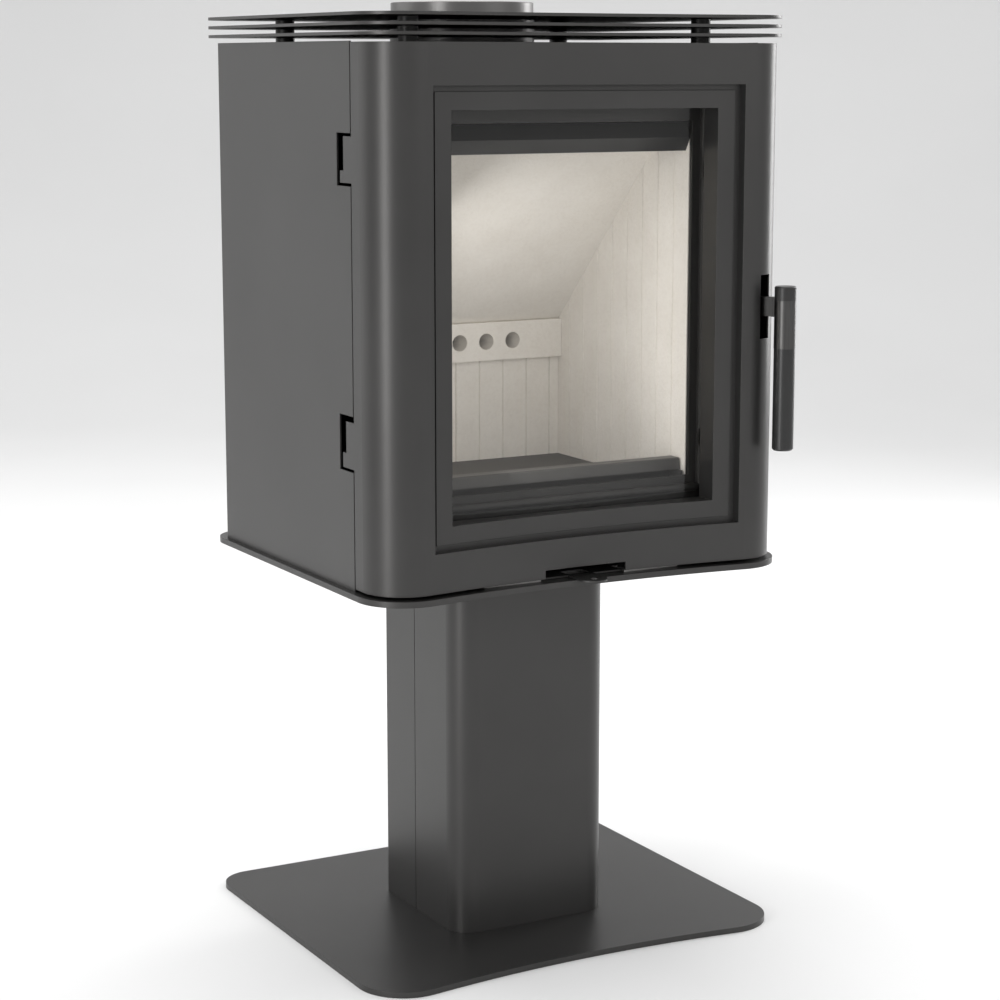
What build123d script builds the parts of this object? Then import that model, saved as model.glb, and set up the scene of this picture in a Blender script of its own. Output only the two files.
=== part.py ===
"""Pedestal wood burning stove with a concave glazed door and a layered top canopy.

Millimetres. +Z is up, the door faces -Y, +X is to the right of someone facing the door.
The origin is on the floor, on the axis of the air hole in the base plate.
"""
import os
from math import cos, radians, sin, sqrt

from build123d import *

os.makedirs("parts", exist_ok=True)

# ---------------------------------------------------------------- driving dimensions
# Heights above the floor
BASE_T = 6.0
FLOOR_BOTTOM = 393.0
FLOOR_TOP = 399.0
DOOR_BOTTOM = 402.2
DOOR_TOP = 925.0
BODY_TOP = 926.0
CANOPY_BOTTOM = 931.3
CANOPY_PITCH = 9.1
CANOPY_T = 3.0
FLUE_TOP = 967.8

# Plan of the plates: straight sides and rear, concave front, round corners
PLATE_W = 477.4
PLATE_REAR = 214.0
PLATE_FRONT = -193.5
PLATE_ARC = 1240.0
PLATE_FRONT_R = 51.0
PLATE_REAR_R = 35.0
FLOOR_W = 474.4
FLOOR_FRONT = -196.2

# Body shell
BODY_W = 463.0
BODY_REAR = 179.0
DOOR_FRONT = -190.5
DOOR_ARC = 1243.0
DOOR_CORNER_R = 44.0
SEAM = -141.0
SEAM_GAP = 2.0
SKIN = 2.0

# Pedestal
PED_W = 182.0
PED_FRONT = -88.4
PED_REAR = 79.4
PED_SEAM = 9.0
PED_SEAM_GAP = 1.2
PED_T = 3.0
PED_FRONT_R = 26.0
PED_REAR_R = 4.0

# Glazed opening of the door
APERTURE_X = 175.0
APERTURE_Z = (441.5, 884.7)
RETURN_DEPTH = 10.0
TRIM_RECESS = 8.3
TRIM_X = 169.0
TRIM_Z = (447.4, 879.0)
GLASS_OPEN_X = 150.3
GLASS_OPEN_Z = (465.0, 861.5)
FRAME_REAR = -166.5
GLASS_FRONT = -165.0
GLASS_T = 4.0

# Firebox
BOX_X = 176.0
BOX_FRONT = -148.0
BOX_REAR = 144.0
BOX_Z = (FLOOR_TOP, 880.0)
BOX_T = 4.0
ASH_FLOOR = 428.0
LINER_X = 145.3
LINER_T = 25.0
LINER_BACK = 114.0
FIRE_FLOOR = 472.0
GROOVE_PITCH = 29.7
GROOVE_W = 3.0
GROOVE_D = 2.0

# Flue
FLUE_Y = 69.0
FLUE_R = 75.0
FLUE_SLEEVE_R = 76.0
FLUE_BORE_R = 72.0

# Hinge of the door
HINGE_X = -219.5
HINGE_Y = -125.0
HINGE_PIN_R = 4.0
RUNNING_GAP = 0.06

# Latch and handle: the lever leaves the round right corner of the door at this bearing
LEVER_BEARING = 65.0
SLOT_X = 206.1
SLOT_Y = -200.1
SLOT_Z = (629.0, 694.2)
SLOT_W = 15.5
SLOT_SHIFT = 1.9
LEVER_Z = 662.0
LEVER_T = 6.0
LEVER_H = 20.0
PIVOT_INSET = 32.0
HANDLE_OUT = 22.5
HANDLE_R = 11.1


# ---------------------------------------------------------------- helpers
def block(x_range, y_range, z_range, mode=Mode.ADD):
    """Box between two corners, in the part that is being built."""
    size = [high - low for low, high in (x_range, y_range, z_range)]
    middle = [(high + low) / 2 for low, high in (x_range, y_range, z_range)]
    with Locations(tuple(middle)):
        Box(*size, mode=mode)


def both_sides(x_low, x_high):
    """The same X range on the right and, mirrored, on the left."""
    return ((x_low, x_high), (-x_high, -x_low))


def disc(x, y, z_range, radius, mode=Mode.ADD):
    """Upright cylinder between two heights."""
    with Locations((x, y, (z_range[0] + z_range[1]) / 2)):
        Cylinder(radius, z_range[1] - z_range[0], mode=mode)


def arc_y(x, front, radius):
    """Y of a concave front arc at X."""
    return front - radius + sqrt(radius**2 - x**2)


def concave_face(width, rear, front, radius, front_r, rear_r=0.0):
    """Face with straight sides and rear and a concave front, corners rounded."""
    half = width / 2
    side_front = arc_y(half, front, radius)
    with BuildSketch() as face:
        with BuildLine():
            Polyline((-half, side_front), (-half, rear), (half, rear), (half, side_front))
            ThreePointArc((half, side_front), (0, front), (-half, side_front))
        make_face()
        by_depth = face.vertices().sort_by(Axis.Y)
        fillet(by_depth[:2], front_r)
        if rear_r:
            fillet(face.vertices().sort_by(Axis.Y)[-2:], rear_r)
    return face.sketch


def door_face(inset, rear=SEAM - SEAM_GAP):
    """Plan of the door, drawn in by an inset."""
    return concave_face(
        BODY_W - 2 * inset,
        rear,
        DOOR_FRONT + inset,
        DOOR_ARC + inset,
        DOOR_CORNER_R - inset,
    )


def front_band(half, front_inset, rear_inset):
    """Curved strip between two depths behind the door's face."""
    front = DOOR_FRONT + front_inset
    rear = DOOR_FRONT + rear_inset
    front_arc = DOOR_ARC + front_inset
    rear_arc = DOOR_ARC + rear_inset
    with BuildSketch() as band:
        with BuildLine():
            front_line = ThreePointArc(
                (-half, arc_y(half, front, front_arc)),
                (0, front),
                (half, arc_y(half, front, front_arc)),
            )
            rear_line = ThreePointArc(
                (half, arc_y(half, rear, rear_arc)),
                (0, rear),
                (-half, arc_y(half, rear, rear_arc)),
            )
            Line(front_line @ 1, rear_line @ 0)
            Line(rear_line @ 1, front_line @ 0)
        make_face()
    return band.sketch


def flat_back_band(half, front_inset, rear_y):
    """Region from a concave front, at a depth behind the door's face, to a flat rear."""
    front = DOOR_FRONT + front_inset
    radius = DOOR_ARC + front_inset
    side_front = arc_y(half, front, radius)
    with BuildSketch() as band:
        with BuildLine():
            Polyline((-half, side_front), (-half, rear_y), (half, rear_y), (half, side_front))
            ThreePointArc((half, side_front), (0, front), (-half, side_front))
        make_face()
    return band.sketch


def rounded_u(half, y_range, front_r, rear_r):
    """Rectangle in plan with its own front and rear corner radii."""
    with BuildSketch() as face:
        with Locations((0, (y_range[0] + y_range[1]) / 2)):
            Rectangle(2 * half, y_range[1] - y_range[0])
        fillet(face.vertices().sort_by(Axis.Y)[:2], front_r)
        fillet(face.vertices().sort_by(Axis.Y)[-2:], rear_r)
    return face.sketch


# ---------------------------------------------------------------- base and pedestal
DUCT_Y = 0.0
DUCT_HOLE_R = 50.0
BOLT_HOLE_R = 3.3
FLANGE_T = 4.0
PED_INNER = PED_W / 2 - PED_T
FLANGE_BOLTS = ((-60, -60), (60, -60), (-60, 52), (60, 52))

with BuildPart() as base_plate:
    with BuildSketch():
        add(concave_face(PLATE_W, PLATE_REAR, PLATE_FRONT, PLATE_ARC, PLATE_FRONT_R, PLATE_REAR_R))
    extrude(amount=BASE_T)
    with Locations((0, DUCT_Y, BASE_T)):
        Hole(DUCT_HOLE_R)
    with Locations([(x, y, BASE_T) for x, y in FLANGE_BOLTS]):
        Hole(BOLT_HOLE_R)
base_plate.part.label = "base_plate"
export_step(base_plate.part, "parts/base_plate.step")

PED_Z = (BASE_T, FLOOR_BOTTOM)
PED_HEIGHT = FLOOR_BOTTOM - BASE_T

with BuildPart() as pedestal_front:
    with BuildSketch(Plane.XY.offset(BASE_T)):
        add(rounded_u(PED_W / 2, (PED_FRONT, PED_REAR), PED_FRONT_R, PED_REAR_R))
        add(
            rounded_u(PED_INNER, (PED_FRONT + PED_T, PED_REAR), PED_FRONT_R - PED_T, PED_T / 2),
            mode=Mode.SUBTRACT,
        )
    extrude(amount=PED_HEIGHT)
    block((-PED_W, PED_W), (PED_SEAM - PED_SEAM_GAP / 2, PED_REAR + PED_T), PED_Z, Mode.SUBTRACT)
pedestal_front.part.label = "pedestal_front"
export_step(pedestal_front.part, "parts/pedestal_front.step")

CABLE_SLOT_X = 45.0
CABLE_SLOT_TOP = 120.0
with BuildPart() as pedestal_rear:
    with BuildSketch(Plane.XY.offset(BASE_T)):
        add(rounded_u(PED_W / 2, (PED_FRONT, PED_REAR), PED_FRONT_R, PED_REAR_R))
        add(
            rounded_u(PED_INNER, (PED_FRONT, PED_REAR - PED_T), PED_FRONT_R - PED_T, PED_T / 2),
            mode=Mode.SUBTRACT,
        )
    extrude(amount=PED_HEIGHT)
    block((-PED_W, PED_W), (PED_FRONT - PED_T, PED_SEAM + PED_SEAM_GAP / 2), PED_Z, Mode.SUBTRACT)
    block(
        (-CABLE_SLOT_X, CABLE_SLOT_X),
        (PED_REAR - 2 * PED_T, PED_REAR + PED_T),
        (BASE_T, CABLE_SLOT_TOP),
        Mode.SUBTRACT,
    )
pedestal_rear.part.label = "pedestal_rear"
export_step(pedestal_rear.part, "parts/pedestal_rear.step")

FLANGE_X = (-PED_INNER + 0.5, PED_INNER - 0.5)
FLANGE_Y = (PED_FRONT + PED_T + 0.5, PED_REAR - PED_T - 0.5)
with BuildPart() as pedestal_foot_flange:
    with BuildSketch(Plane.XY.offset(BASE_T)):
        add(rounded_u(FLANGE_X[1], FLANGE_Y, PED_FRONT_R - PED_T, PED_T))
    extrude(amount=FLANGE_T)
    with Locations((0, DUCT_Y, BASE_T + FLANGE_T)):
        Hole(DUCT_HOLE_R)
    with Locations([(x, y, BASE_T + FLANGE_T) for x, y in FLANGE_BOLTS]):
        Hole(BOLT_HOLE_R)
pedestal_foot_flange.part.label = "pedestal_foot_flange"
export_step(pedestal_foot_flange.part, "parts/pedestal_foot_flange.step")

with BuildPart() as pedestal_head_flange:
    with BuildSketch(Plane.XY.offset(FLOOR_BOTTOM - FLANGE_T)):
        add(rounded_u(FLANGE_X[1], FLANGE_Y, PED_FRONT_R - PED_T, PED_T))
    extrude(amount=FLANGE_T)
    with Locations((0, DUCT_Y, FLOOR_BOTTOM)):
        Hole(DUCT_HOLE_R)
    with Locations([(x, y, FLOOR_BOTTOM) for x, y in FLANGE_BOLTS]):
        Hole(BOLT_HOLE_R)
pedestal_head_flange.part.label = "pedestal_head_flange"
export_step(pedestal_head_flange.part, "parts/pedestal_head_flange.step")

BOLT_R = 3.0
BOLT_HEAD_R = 5.0
BOLT_HEAD_H = 4.0
with BuildPart() as pedestal_bolts:
    for bolt_x, bolt_y in FLANGE_BOLTS:
        foot_top = BASE_T + FLANGE_T
        disc(bolt_x, bolt_y, (1.0, foot_top), BOLT_R)
        disc(bolt_x, bolt_y, (foot_top, foot_top + BOLT_HEAD_H), BOLT_HEAD_R)
        head_low = FLOOR_BOTTOM - FLANGE_T
        disc(bolt_x, bolt_y, (head_low, FLOOR_TOP - 1.0), BOLT_R)
        disc(bolt_x, bolt_y, (head_low - BOLT_HEAD_H, head_low), BOLT_HEAD_R)
pedestal_bolts.part.label = "pedestal_bolts"
export_step(pedestal_bolts.part, "parts/pedestal_bolts.step")

# ---------------------------------------------------------------- floor of the body and air inlet
PORT_X = (-60.0, 0.0, 60.0)
PORT_Y = -168.0
PORT_W = 26.0
PORT_D = 14.0
SPIGOT_R = 40.0
SPIGOT_T = 2.0
SPIGOT_LOW = 320.0

with BuildPart() as floor_plate:
    with BuildSketch(Plane.XY.offset(FLOOR_BOTTOM)):
        add(
            concave_face(
                FLOOR_W, PLATE_REAR, FLOOR_FRONT, DOOR_ARC - 5.7, DOOR_CORNER_R + 5.7, PLATE_REAR_R
            )
        )
    extrude(amount=FLOOR_TOP - FLOOR_BOTTOM)
    with Locations((0, DUCT_Y, FLOOR_TOP)):
        Hole(SPIGOT_R - SPIGOT_T)
    with Locations([(x, y, FLOOR_TOP) for x, y in FLANGE_BOLTS]):
        Hole(BOLT_HOLE_R)
    for port_x in PORT_X:
        block(
            (port_x - PORT_W / 2, port_x + PORT_W / 2),
            (PORT_Y - PORT_D / 2, PORT_Y + PORT_D / 2),
            (FLOOR_BOTTOM - 1, FLOOR_TOP + 1),
            Mode.SUBTRACT,
        )
floor_plate.part.label = "floor_plate"
export_step(floor_plate.part, "parts/floor_plate.step")

with BuildPart() as air_inlet_spigot:
    with BuildSketch(Plane.XY.offset(SPIGOT_LOW)):
        with Locations((0, DUCT_Y)):
            Circle(SPIGOT_R)
            Circle(SPIGOT_R - SPIGOT_T, mode=Mode.SUBTRACT)
    extrude(amount=FLOOR_BOTTOM - SPIGOT_LOW)
air_inlet_spigot.part.label = "air_inlet_spigot"
export_step(air_inlet_spigot.part, "parts/air_inlet_spigot.step")

# ---------------------------------------------------------------- air slide and its guides
SLIDE_Z = (399.3, 401.3)
SLIDE_X = 78.0
SLIDE_Y = (-181.0, -154.0)
GUIDE_GAP = 0.5
GUIDE_W = 4.0
GUIDE_X = 112.0
GUIDE_TOP = 401.8
TAB_HALF = 14.5
TAB_TIP = -219.0
TAB_HOLE_R = 4.0

with BuildPart() as air_slide_guides:
    for y_low in (SLIDE_Y[0] - GUIDE_GAP - GUIDE_W, SLIDE_Y[1] + GUIDE_GAP):
        for x_range in both_sides(TAB_HALF + 34.0, GUIDE_X):
            block(x_range, (y_low, y_low + GUIDE_W), (FLOOR_TOP, GUIDE_TOP))
air_slide_guides.part.label = "air_slide_guides"
export_step(air_slide_guides.part, "parts/air_slide_guides.step")

with BuildPart() as air_slide_plate:
    block((-SLIDE_X, SLIDE_X), SLIDE_Y, SLIDE_Z)
    for port_x in PORT_X:
        block(
            (port_x - PORT_W / 2, port_x + PORT_W / 2),
            (PORT_Y - PORT_D / 2, PORT_Y + PORT_D / 2),
            (SLIDE_Z[0] - 1, SLIDE_Z[1] + 1),
            Mode.SUBTRACT,
        )
    block((-TAB_HALF, TAB_HALF), (TAB_TIP + TAB_HALF, SLIDE_Y[0]), SLIDE_Z)
    disc(0, TAB_TIP + TAB_HALF, SLIDE_Z, TAB_HALF)
    disc(0, TAB_TIP + TAB_HALF - 3.0, (SLIDE_Z[0] - 1, SLIDE_Z[1] + 1), TAB_HOLE_R, Mode.SUBTRACT)
air_slide_plate.part.label = "air_slide_plate"
export_step(air_slide_plate.part, "parts/air_slide_plate.step")

# ---------------------------------------------------------------- outer panels
NOTCHES = ((516.5, 571.0), (790.5, 840.5))
NOTCH_REAR = -111.0
REAR_FLANGE = 16.0

for side_name, side in (("side_panel_left", -1), ("side_panel_right", 1)):
    outer_x = side * BODY_W / 2
    inner_x = side * (BODY_W / 2 - SKIN)
    flange_x = side * (BODY_W / 2 - REAR_FLANGE)
    with BuildPart() as side_panel:
        block(sorted((outer_x, inner_x)), (SEAM, BODY_REAR), (FLOOR_TOP, BODY_TOP))
        block(sorted((outer_x, flange_x)), (BODY_REAR - SKIN, BODY_REAR), (FLOOR_TOP, BODY_TOP))
        rear_edge = side_panel.edges().filter_by(Axis.Z).sort_by_distance(
            (outer_x, BODY_REAR, (FLOOR_TOP + BODY_TOP) / 2)
        )[0]
        fillet(rear_edge, 1.2)
        if side < 0:
            for notch in NOTCHES:
                block(sorted((2 * outer_x, inner_x + 1)), (SEAM - 1, NOTCH_REAR), notch, Mode.SUBTRACT)
    side_panel.part.label = side_name
    export_step(side_panel.part, "parts/" + side_name + ".step")

PANEL_X = BODY_W / 2 - SKIN - 0.4
PANEL_Z = (FLOOR_TOP + 1.0, 920.0)
LOUVRE_Z = [470 + 16 * row for row in range(6)] + [790 + 16 * row for row in range(6)]
LOUVRE_X = (-110, 0, 110)
with BuildPart() as rear_panel:
    block((-PANEL_X, PANEL_X), (BODY_REAR - 2 * SKIN, BODY_REAR - SKIN), PANEL_Z)
    for louvre_z in LOUVRE_Z:
        for louvre_x in LOUVRE_X:
            block(
                (louvre_x - 42, louvre_x + 42),
                (BODY_REAR - 3 * SKIN, BODY_REAR),
                (louvre_z, louvre_z + 5),
                Mode.SUBTRACT,
            )
rear_panel.part.label = "rear_panel"
export_step(rear_panel.part, "parts/rear_panel.step")

SCREW_Z = (425.0, 560.0, 700.0, 840.0, 905.0)
SCREW_X = BODY_W / 2 - REAR_FLANGE / 2 - 1
with BuildPart() as panel_screws:
    for screw_z in SCREW_Z:
        for screw_x in (-SCREW_X, SCREW_X):
            with BuildSketch(Plane((screw_x, BODY_REAR, screw_z), z_dir=(0, 1, 0))):
                Circle(4.0)
                RegularPolygon(1.8, 6, mode=Mode.SUBTRACT)
            extrude(amount=2.2)
panel_screws.part.label = "panel_screws"
export_step(panel_screws.part, "parts/panel_screws.step")

TOP_SHEET_Z = (922.0, 924.0)
TOP_SHEET_FRONT = -146.0
SPACER_SPOTS = [(x, y) for x in (-166.0, 166.0) for y in (-133.6, 152.6)]
SPACER_R = 9.9
STUD_R = 4.0
STUD_HOLE_R = 4.3
STUD_LOW = 912.0
VENT_X = (-205.0, -150.0, -118.0, 118.0, 150.0, 205.0)
with BuildPart() as body_top_sheet:
    block((-PANEL_X, PANEL_X), (-116.0, BODY_REAR - 2 * SKIN - 0.4), TOP_SHEET_Z)
    block((-190.0, 190.0), (TOP_SHEET_FRONT, -110.0), TOP_SHEET_Z)
    disc(0, FLUE_Y, (TOP_SHEET_Z[0] - 1, TOP_SHEET_Z[1] + 1), FLUE_SLEEVE_R + 3, Mode.SUBTRACT)
    for vent_x in VENT_X:
        block((vent_x - 6, vent_x + 6), (-95.0, 130.0), (920.0, 926.0), Mode.SUBTRACT)
    for stud_x, stud_y in SPACER_SPOTS:
        disc(stud_x, stud_y, (TOP_SHEET_Z[0] - 1, TOP_SHEET_Z[1] + 1), STUD_HOLE_R, Mode.SUBTRACT)
body_top_sheet.part.label = "body_top_sheet"
export_step(body_top_sheet.part, "parts/body_top_sheet.step")

# ---------------------------------------------------------------- canopy
CANOPY_NAMES = ("canopy_plate_lower", "canopy_plate_middle", "canopy_plate_upper")
for level, canopy_name in enumerate(CANOPY_NAMES):
    plate_z = CANOPY_BOTTOM + level * CANOPY_PITCH
    with BuildPart() as canopy_plate:
        with BuildSketch(Plane.XY.offset(plate_z)):
            add(
                concave_face(
                    PLATE_W, PLATE_REAR, PLATE_FRONT, PLATE_ARC, PLATE_FRONT_R, PLATE_REAR_R
                )
            )
            with Locations((0, FLUE_Y)):
                Circle(FLUE_SLEEVE_R + 0.8, mode=Mode.SUBTRACT)
            if level < 2:
                with Locations(SPACER_SPOTS):
                    Circle(STUD_HOLE_R, mode=Mode.SUBTRACT)
        extrude(amount=CANOPY_T)
    canopy_plate.part.label = canopy_name
    export_step(canopy_plate.part, "parts/" + canopy_name + ".step")

with BuildPart() as canopy_spacers:
    for level in range(3):
        spacer_top = CANOPY_BOTTOM + level * CANOPY_PITCH
        spacer_low = TOP_SHEET_Z[1] if level == 0 else spacer_top - CANOPY_PITCH + CANOPY_T
        for spacer_x, spacer_y in SPACER_SPOTS:
            disc(spacer_x, spacer_y, (spacer_low, spacer_top), SPACER_R)
            disc(spacer_x, spacer_y, (spacer_low, spacer_top), STUD_HOLE_R, Mode.SUBTRACT)
canopy_spacers.part.label = "canopy_spacers"
export_step(canopy_spacers.part, "parts/canopy_spacers.step")

CANOPY_TOP = CANOPY_BOTTOM + 2 * CANOPY_PITCH + CANOPY_T
NUT_R = 7.0
NUT_H = 6.0
with BuildPart() as canopy_studs:
    for stud_x, stud_y in SPACER_SPOTS:
        disc(stud_x, stud_y, (STUD_LOW, CANOPY_TOP - CANOPY_T), STUD_R)
canopy_studs.part.label = "canopy_studs"
export_step(canopy_studs.part, "parts/canopy_studs.step")

with BuildPart() as canopy_nuts:
    with BuildSketch(Plane.XY.offset(TOP_SHEET_Z[0] - NUT_H)):
        with Locations(SPACER_SPOTS):
            RegularPolygon(NUT_R, 6)
            Circle(STUD_R, mode=Mode.SUBTRACT)
    extrude(amount=NUT_H)
canopy_nuts.part.label = "canopy_nuts"
export_step(canopy_nuts.part, "parts/canopy_nuts.step")

# ---------------------------------------------------------------- firebox
OPEN_X = LINER_X + 0.2
OPEN_Z = (486.0, 848.0)
BEAD_X = 159.5
BEAD_Z = (473.5, 867.0)
BEAD_R = 4.5
BEAD_Y = -153.5
FRONT_X = 200.0
PLATE_Y = (-152.0, BOX_FRONT)
FRONT_Z = (403.0, 908.0)
ASH_OPEN_X = 124.0
ASH_OPEN_Z = (ASH_FLOOR, 459.0)
LEDGE_Z = (460.0, 464.0)
AIR_HOLES_Z = 604.0
AIR_HOLE_R = 9.0
AIR_HOLE_PITCH = 33.0
AIR_HOLE_COUNT = 6

with BuildPart() as firebox_shell:
    block((-BOX_X, BOX_X), (BOX_FRONT, BOX_REAR), BOX_Z)
    inside_x = (-BOX_X + BOX_T, BOX_X - BOX_T)
    inside_y = (BOX_FRONT - 1, BOX_REAR - BOX_T)
    block(inside_x, inside_y, (BOX_Z[0] - 1, ASH_FLOOR - BOX_T), Mode.SUBTRACT)
    block(inside_x, inside_y, (ASH_FLOOR, BOX_Z[1] - BOX_T), Mode.SUBTRACT)
    for x_range in both_sides(BOX_X - BOX_T - 8, BOX_X - BOX_T + 1):
        block(x_range, (BOX_FRONT + 2, BOX_REAR - BOX_T), LEDGE_Z)
    disc(0, FLUE_Y, (BOX_Z[1] - BOX_T - 1, BOX_Z[1] + 1), FLUE_BORE_R - 2, Mode.SUBTRACT)
    with BuildSketch(Plane((0, BOX_REAR, AIR_HOLES_Z), x_dir=(1, 0, 0), z_dir=(0, -1, 0))):
        with GridLocations(AIR_HOLE_PITCH, 1, AIR_HOLE_COUNT, 1):
            Circle(AIR_HOLE_R)
    extrude(amount=2 * BOX_T, mode=Mode.SUBTRACT)
firebox_shell.part.label = "firebox_shell"
export_step(firebox_shell.part, "parts/firebox_shell.step")

with BuildPart() as firebox_front_frame:
    block((-FRONT_X, FRONT_X), PLATE_Y, FRONT_Z)
    block((-OPEN_X, OPEN_X), (PLATE_Y[0] - 1, PLATE_Y[1] + 1), OPEN_Z, Mode.SUBTRACT)
    block((-ASH_OPEN_X, ASH_OPEN_X), (PLATE_Y[0] - 1, PLATE_Y[1] + 1), ASH_OPEN_Z, Mode.SUBTRACT)
    for x_range in both_sides(FRONT_X - BOX_T, FRONT_X):
        block(x_range, (PLATE_Y[0], -108.0), FRONT_Z)
    bead_width = 2 * BEAD_X
    bead_height = BEAD_Z[1] - BEAD_Z[0]
    with BuildSketch(Plane.XZ.offset(-BEAD_Y)):
        with Locations((0, (BEAD_Z[0] + BEAD_Z[1]) / 2)):
            Rectangle(bead_width + 2 * BEAD_R, bead_height + 2 * BEAD_R)
            Rectangle(bead_width - 2 * BEAD_R, bead_height - 2 * BEAD_R, mode=Mode.SUBTRACT)
    extrude(amount=BEAD_R, both=True)
    bead_edges = firebox_front_frame.faces().filter_by(Axis.Y).sort_by(Axis.Y)[0].edges()
    fillet(bead_edges, BEAD_R - 0.3)
firebox_front_frame.part.label = "firebox_front_frame"
export_step(firebox_front_frame.part, "parts/firebox_front_frame.step")

COLLAR_FLANGE_R = 92.0
COLLAR_PCD_R = 84.0
COLLAR_BOLTS = 6
with BuildPart() as flue_collar:
    disc(0, FLUE_Y, (BOX_Z[1], BOX_Z[1] + BOX_T), COLLAR_FLANGE_R)
    disc(0, FLUE_Y, (BOX_Z[1], CANOPY_TOP), FLUE_SLEEVE_R)
    disc(0, FLUE_Y, (BOX_Z[1], FLUE_TOP), FLUE_R)
    disc(0, FLUE_Y, (BOX_Z[1] - 1, FLUE_TOP + 1), FLUE_BORE_R, Mode.SUBTRACT)
    with Locations((0, FLUE_Y, BOX_Z[1] + BOX_T)):
        with PolarLocations(COLLAR_PCD_R, COLLAR_BOLTS):
            Hole(2.6)
    rim = flue_collar.edges().filter_by(GeomType.CIRCLE).group_by(Axis.Z)[-1]
    chamfer(rim, 0.6)
flue_collar.part.label = "flue_collar"
export_step(flue_collar.part, "parts/flue_collar.step")

with BuildPart() as collar_bolts:
    with Locations((0, FLUE_Y, BOX_Z[1] + BOX_T + 2)):
        with PolarLocations(COLLAR_PCD_R, COLLAR_BOLTS):
            Cylinder(4.2, 4)
collar_bolts.part.label = "collar_bolts"
export_step(collar_bolts.part, "parts/collar_bolts.step")

# ---------------------------------------------------------------- linings
LINER_FRONT = -146.5
LINER_REAR = BOX_REAR - BOX_T - 0.5
LINER_TOP = 832.0
SIDE_GROOVES = [89.0 - GROOVE_PITCH * row for row in range(8)]
BACK_GROOVES = [GROOVE_PITCH * (column - 4.5) for column in range(10)]
BAND_Z = (583.0, 625.0)
BAND_FRONT = 107.0
BAFFLE_RUN = 198.0
BAFFLE_T = 25.0
baffle_low = (LINER_BACK, BAND_Z[1])
baffle_top = (baffle_low[0] - BAFFLE_RUN, baffle_low[1] + BAFFLE_RUN)

for liner_name, side in (("liner_left", -1), ("liner_right", 1)):
    inner_x = side * LINER_X
    outer_x = side * (LINER_X + LINER_T)
    with BuildPart() as side_liner:
        with BuildSketch(Plane.YZ.offset(min(inner_x, outer_x))):
            with BuildLine():
                Polyline(
                    (LINER_FRONT, FIRE_FLOOR),
                    (LINER_REAR, FIRE_FLOOR),
                    (LINER_REAR, baffle_low[1] - (LINER_REAR - baffle_low[0])),
                    (baffle_top[0] - 0.4, baffle_top[1] + 0.4),
                    (baffle_top[0] - 0.4, LINER_TOP),
                    (LINER_FRONT, LINER_TOP),
                    close=True,
                )
            make_face()
        extrude(amount=LINER_T)
        for groove_y in SIDE_GROOVES:
            with BuildSketch(Plane.XY.offset(FIRE_FLOOR)):
                with BuildLine():
                    Polyline(
                        (inner_x - side, groove_y - GROOVE_W / 2),
                        (inner_x + side * GROOVE_D, groove_y),
                        (inner_x - side, groove_y + GROOVE_W / 2),
                        close=True,
                    )
                make_face()
            extrude(amount=LINER_TOP - FIRE_FLOOR, mode=Mode.SUBTRACT)
    side_liner.part.label = liner_name
    export_step(side_liner.part, "parts/" + liner_name + ".step")

with BuildPart() as liner_rear:
    block((-LINER_X + 0.3, LINER_X - 0.3), (LINER_BACK, LINER_REAR), (FIRE_FLOOR, BAND_Z[0] - 0.6))
    for groove_x in BACK_GROOVES:
        with BuildSketch(Plane.XY.offset(FIRE_FLOOR)):
            with BuildLine():
                Polyline(
                    (groove_x - GROOVE_W / 2, LINER_BACK - 1),
                    (groove_x, LINER_BACK + GROOVE_D),
                    (groove_x + GROOVE_W / 2, LINER_BACK - 1),
                    close=True,
                )
            make_face()
        extrude(amount=BAND_Z[0] - FIRE_FLOOR, mode=Mode.SUBTRACT)
liner_rear.part.label = "liner_rear"
export_step(liner_rear.part, "parts/liner_rear.step")

with BuildPart() as secondary_air_bar:
    block((-LINER_X + 0.3, LINER_X - 0.3), (BAND_FRONT, LINER_REAR), BAND_Z)
    with BuildSketch(Plane((0, BAND_FRONT, AIR_HOLES_Z), x_dir=(1, 0, 0), z_dir=(0, -1, 0))):
        with GridLocations(AIR_HOLE_PITCH, 1, AIR_HOLE_COUNT, 1):
            Circle(AIR_HOLE_R)
    extrude(amount=-40, mode=Mode.SUBTRACT)
secondary_air_bar.part.label = "secondary_air_bar"
export_step(secondary_air_bar.part, "parts/secondary_air_bar.step")

BAFFLE_X = LINER_X + LINER_T - 0.5
baffle_step = BAFFLE_T / sqrt(2)
with BuildPart() as baffle:
    with BuildSketch(Plane.YZ.offset(-BAFFLE_X)):
        with BuildLine():
            Polyline(
                baffle_low,
                baffle_top,
                (baffle_top[0] + baffle_step, baffle_top[1] + baffle_step),
                (baffle_low[0] + baffle_step, baffle_low[1] + baffle_step),
                close=True,
            )
        make_face()
    extrude(amount=2 * BAFFLE_X)
baffle.part.label = "baffle"
export_step(baffle.part, "parts/baffle.step")

MANIFOLD_Z = (420.0, 640.0)
MANIFOLD_X = 105.0
with BuildPart() as air_manifold:
    block((-MANIFOLD_X, MANIFOLD_X), (BOX_REAR, BOX_REAR + 18.0), MANIFOLD_Z)
    block(
        (-MANIFOLD_X + 2, MANIFOLD_X - 2),
        (BOX_REAR - 1, BOX_REAR + 16.0),
        (MANIFOLD_Z[0] - 1, MANIFOLD_Z[1] - 2),
        Mode.SUBTRACT,
    )
air_manifold.part.label = "air_manifold"
export_step(air_manifold.part, "parts/air_manifold.step")

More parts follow.
